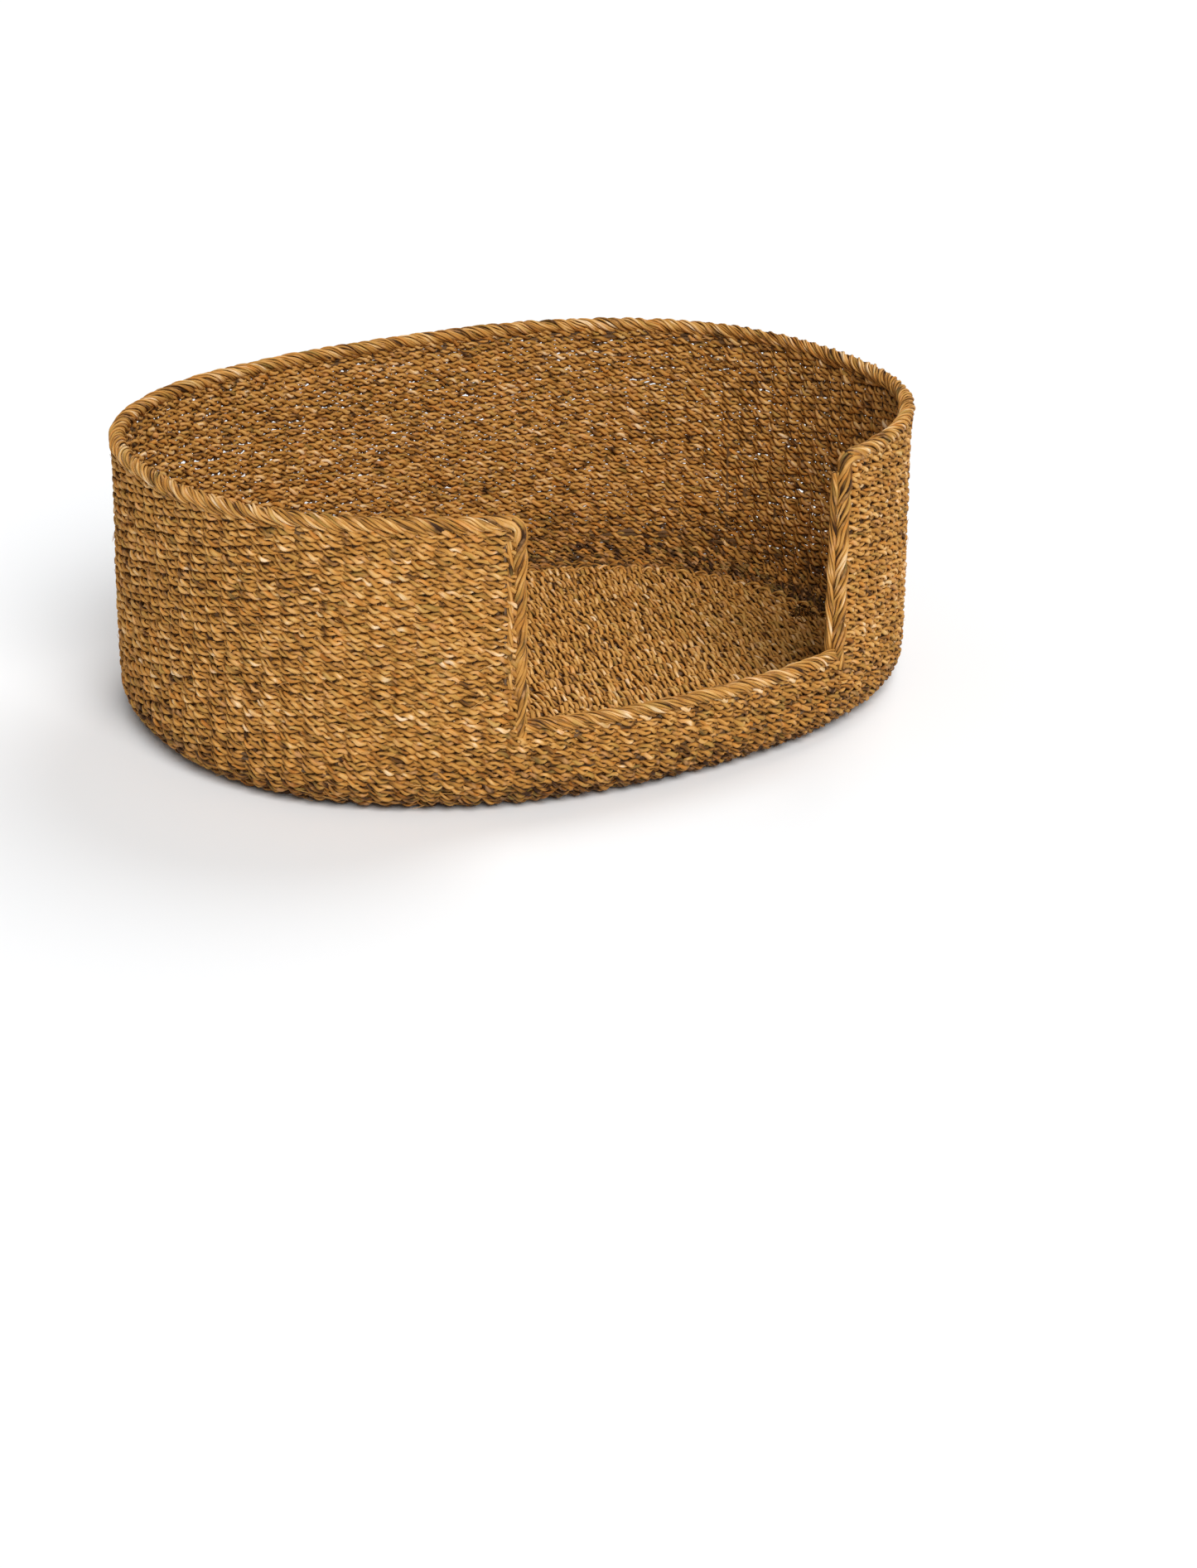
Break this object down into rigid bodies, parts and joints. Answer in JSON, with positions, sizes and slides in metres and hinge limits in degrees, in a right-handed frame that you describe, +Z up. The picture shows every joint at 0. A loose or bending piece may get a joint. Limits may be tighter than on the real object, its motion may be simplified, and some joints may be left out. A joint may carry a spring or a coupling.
{
  "type": "woven pet bed basket",
  "caption": "Oval twined seagrass sleeping basket for a cat or dog, open at the top, with a low entrance cut out of the front wall.",
  "frame": {"origin": "centre of the footprint on the surface the basket stands on", "axes": "+Z up, the entrance in the front wall faces -Y, +X to the right of someone who looks in at the entrance along +Y"},
  "size_m": [0.802, 0.624, 0.285],
  "materials": {
    "wall_weft": "matt twisted seagrass strand, golden tan",
    "floor_edge": "matt twisted seagrass strand, slightly olive",
    "floor_warp": "matt twisted seagrass cord",
    "floor_weft": "matt twisted seagrass strand, slightly olive",
    "frame_wire": "dark lacquered steel wire",
    "stake_cord": "matt twisted seagrass cord",
    "entrance_braid": "matt plaited seagrass, pale tan",
    "border_rope": "matt seagrass rope, pale tan"
  },
  "bodies": {
    "root": {"entrance_braid_left": "entrance_braid", "entrance_braid_right": "entrance_braid", "floor_edge_course": "floor_edge", "floor_warp": "floor_warp", "floor_weft_1_lower": "floor_weft", "floor_weft_1_upper": "floor_weft", "floor_weft_2_lower": "floor_weft", "floor_weft_2_upper": "floor_weft", "floor_weft_3_lower": "floor_weft", "floor_weft_3_upper": "floor_weft", "floor_weft_4_lower": "floor_weft", "floor_weft_4_upper": "floor_weft", "floor_weft_5_lower": "floor_weft", "floor_weft_5_upper": "floor_weft", "floor_weft_6_lower": "floor_weft", "floor_weft_6_upper": "floor_weft", "floor_weft_7_lower": "floor_weft", "floor_weft_7_upper": "floor_weft", "frame_base_hoop": "frame_wire", "frame_rim_wire": "frame_wire", "frame_upright_1": "frame_wire", "frame_upright_2": "frame_wire", "frame_upright_3": "frame_wire", "frame_upright_4": "frame_wire", "frame_upright_5": "frame_wire", "frame_upright_6": "frame_wire", "rim_border": "border_rope", "sill_border": "border_rope", "stake_cord_1": "stake_cord", "stake_cord_2": "stake_cord", "stake_cord_3": "stake_cord", "stake_cord_4": "stake_cord", "stake_cord_5": "stake_cord", "stake_cord_6": "stake_cord", "stake_cord_7": "stake_cord", "stake_cord_entrance": "stake_cord", "wall_weft_01": "wall_weft", "wall_weft_02": "wall_weft", "wall_weft_03_inner": "wall_weft", "wall_weft_03_outer": "wall_weft", "wall_weft_04_inner": "wall_weft", "wall_weft_04_outer": "wall_weft", "wall_weft_05_inner": "wall_weft", "wall_weft_05_outer": "wall_weft", "wall_weft_06_inner": "wall_weft", "wall_weft_06_outer": "wall_weft", "wall_weft_07_inner": "wall_weft", "wall_weft_07_outer": "wall_weft", "wall_weft_08_inner": "wall_weft", "wall_weft_08_outer": "wall_weft", "wall_weft_09_inner": "wall_weft", "wall_weft_09_outer": "wall_weft", "wall_weft_10_inner": "wall_weft", "wall_weft_10_outer": "wall_weft", "wall_weft_11_inner": "wall_weft", "wall_weft_11_outer": "wall_weft", "wall_weft_12_inner": "wall_weft", "wall_weft_12_outer": "wall_weft"}
  },
  "joints": []
}
